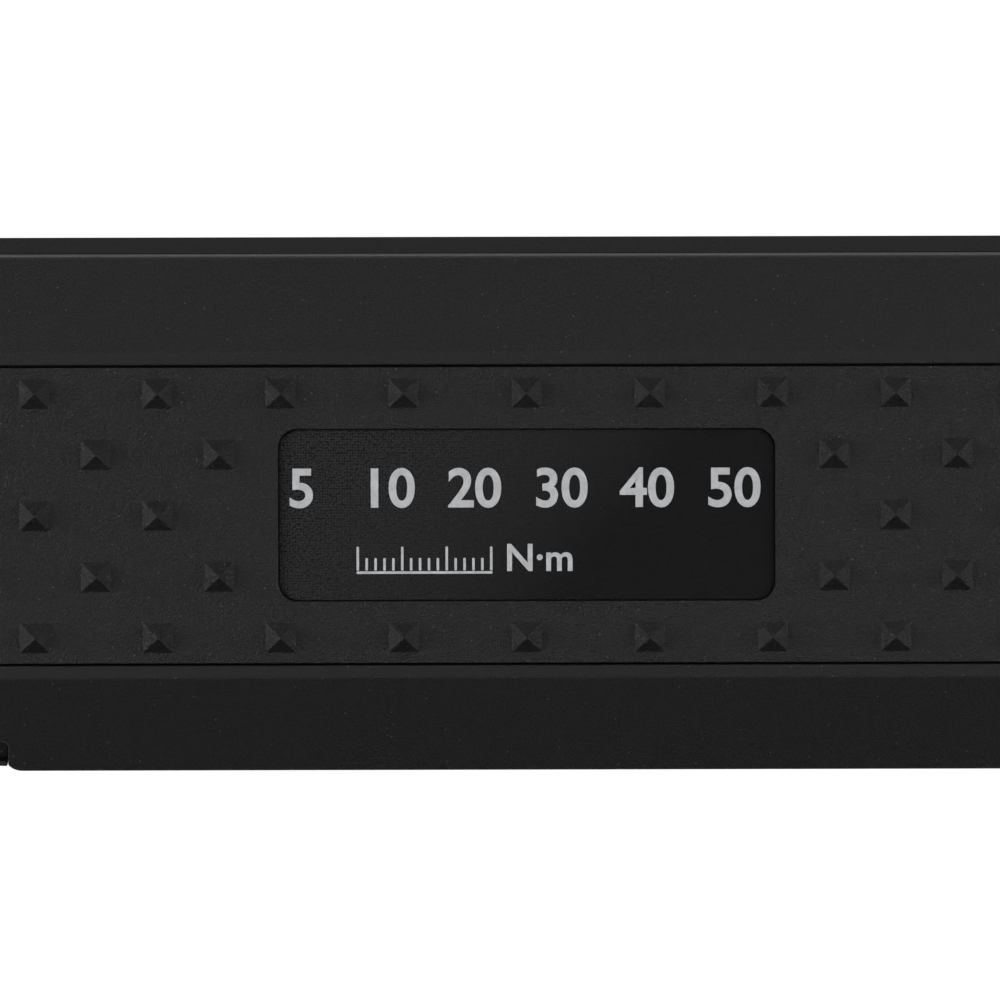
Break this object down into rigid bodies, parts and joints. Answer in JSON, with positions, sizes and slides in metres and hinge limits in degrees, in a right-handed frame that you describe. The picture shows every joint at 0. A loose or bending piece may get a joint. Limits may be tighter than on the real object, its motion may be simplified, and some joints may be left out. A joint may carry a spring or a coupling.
{
  "type": "digital torque wrench",
  "caption": "Slim digital torque wrench: reversible ratchet head with a square drive, display and keys, studded rubber grip with a label plate, end cap with a lanyard eye.",
  "frame": {"origin": "on the drive axis, at the shoulder where a socket seats", "axes": "+X from the ratchet head along the handle to the end cap, +Z the side with the display and the label, -Z the way a socket comes off the square drive"},
  "size_m": [0.321, 0.0406, 0.0359],
  "materials": {
    "head_chrome": "satin chrome plate",
    "drive_steel": "ground alloy steel",
    "pawl_steel": "hardened, dark",
    "pin_steel": "ground",
    "spring_steel": "drawn wire",
    "lever_chrome": "bright chrome plate",
    "cover_steel": "circular brushed",
    "screw_black": "black oxide",
    "ball_steel": "polished",
    "seal_rubber": "matte",
    "beam_steel": "milled",
    "bush_bronze": "sintered bronze",
    "gauge_film": "polyimide film",
    "flex_lead": "flat flexible lead",
    "front_plastic": "fine spark-eroded grain",
    "rear_plastic": "fine spark-eroded grain",
    "faceplate_gloss": "semi-gloss black",
    "lens_clear": "clear",
    "lcd_glass": "reflective display",
    "light_guide": "milky",
    "board_green": "solder mask",
    "chip_black": "moulded epoxy",
    "screw_zinc": "zinc plate",
    "switch_steel": "stamped",
    "led_white": "moulded",
    "pipe_green": "tinted clear",
    "key_rubber": "satin silicone",
    "key_red": "satin silicone",
    "pad_rubber": "fine grain",
    "label_black": "leather grain",
    "tray_plastic": "plain",
    "cell_jacket": "printed jacket",
    "contact_nickel": "nickel plate",
    "wire_red": "insulation",
    "flap_rubber": "matte",
    "cap_rubber": "matte",
    "eyelet_steel": "polished"
  },
  "bodies": {
    "wrench": {"ratchet_head": "head_chrome", "pawl_pin": "pin_steel", "head_cover": "cover_steel", "cover_screws": "screw_black", "drive_seal": "seal_rubber", "torque_beam": "beam_steel", "beam_pins": "pin_steel", "load_pin": "pin_steel", "load_bushes": "bush_bronze", "strain_gauges": "gauge_film", "gauge_leads": "flex_lead", "nose_seal": "seal_rubber", "front_shell": "front_plastic", "rear_shell": "rear_plastic", "shell_seal": "seal_rubber", "faceplate": "faceplate_gloss", "lens": "lens_clear", "lcd_module": "lcd_glass", "backlight": "light_guide", "main_board": "board_green", "board_chips": "chip_black", "board_screws": "screw_zinc", "tact_switches": "switch_steel", "led_chips": "led_white", "light_pipes": "pipe_green", "buzzer": "chip_black", "grip_pad": "pad_rubber", "label_plate": "label_black", "rear_pad": "pad_rubber", "battery_tray": "tray_plastic", "battery_cells": "cell_jacket", "cell_contacts": "contact_nickel", "cell_springs": "contact_nickel", "battery_wires": "wire_red", "door_pin": "pin_steel", "usb_socket": "contact_nickel", "usb_tongue": "chip_black", "port_board": "board_green", "housing_screws": "screw_black", "end_cap": "cap_rubber", "lanyard_eyelet": "eyelet_steel"},
    "drive": {"drive_gear": "drive_steel"},
    "release": {"release_button": "lever_chrome", "release_spring": "spring_steel"},
    "ball": {"lock_ball": "ball_steel"},
    "selector": {"selector_lever": "lever_chrome", "selector_plunger": "pin_steel", "plunger_spring": "spring_steel"},
    "pawl": {"pawl": "pawl_steel"},
    "up_key": {"up_button": "key_rubber"},
    "unit_key": {"unit_button": "key_rubber"},
    "down_key": {"down_button": "key_rubber"},
    "mode_key": {"mode_button": "key_rubber"},
    "power_key": {"power_button": "key_red"},
    "door": {"battery_door": "rear_plastic"},
    "flap": {"port_flap": "flap_rubber"}
  },
  "joints": [
    {"name": "drive_spin", "type": "hinge", "parent": "wrench", "child": "drive", "pos_m": [0, 0, 0], "axis": [0, 0, 1], "continuous": true},
    {"name": "release_press", "type": "slide", "parent": "drive", "child": "release", "axis": [0, 0, -1], "range_m": [0, 0.0022], "stiffness_N_per_m": 1200, "deforming": ["release_spring"]},
    {"name": "ball_retract", "type": "slide", "parent": "drive", "child": "ball", "axis": [0, -1, 0], "range_m": [0, 0.0006]},
    {"name": "selector_turn", "type": "hinge", "parent": "wrench", "child": "selector", "pos_m": [0.025, 0, 0.02], "axis": [0, 0, 1], "range_deg": [-36, 0]},
    {"name": "pawl_tilt", "type": "hinge", "parent": "wrench", "child": "pawl", "pos_m": [0.016, 0, 0.009], "axis": [0, 0, 1], "range_deg": [-1, 14]},
    {"name": "up_press", "type": "slide", "parent": "wrench", "child": "up_key", "axis": [0, 0, -1], "range_m": [0, 0.0008], "stiffness_N_per_m": 900},
    {"name": "unit_press", "type": "slide", "parent": "wrench", "child": "unit_key", "axis": [0, 0, -1], "range_m": [0, 0.0008], "stiffness_N_per_m": 900},
    {"name": "down_press", "type": "slide", "parent": "wrench", "child": "down_key", "axis": [0, 0, -1], "range_m": [0, 0.0008], "stiffness_N_per_m": 900},
    {"name": "mode_press", "type": "slide", "parent": "wrench", "child": "mode_key", "axis": [0, 0, -1], "range_m": [0, 0.0008], "stiffness_N_per_m": 900},
    {"name": "power_press", "type": "slide", "parent": "wrench", "child": "power_key", "axis": [0, 0, -1], "range_m": [0, 0.0008], "stiffness_N_per_m": 900},
    {"name": "battery_door_swing", "type": "hinge", "parent": "wrench", "child": "door", "pos_m": [0.2086, 0, -0.0029], "axis": [0, 1, 0], "range_deg": [0, 95]},
    {"name": "port_flap_swing", "type": "hinge", "parent": "wrench", "child": "flap", "pos_m": [0.16005, -0.019, 0.00695], "axis": [1, 0, 0], "range_deg": [0, 95]}
  ],
  "couplings": [
    {"joint": "ball_retract", "follows": "release_press", "ratio": 0.25},
    {"joint": "pawl_tilt", "follows": "selector_turn", "ratio": -0.30556}
  ]
}
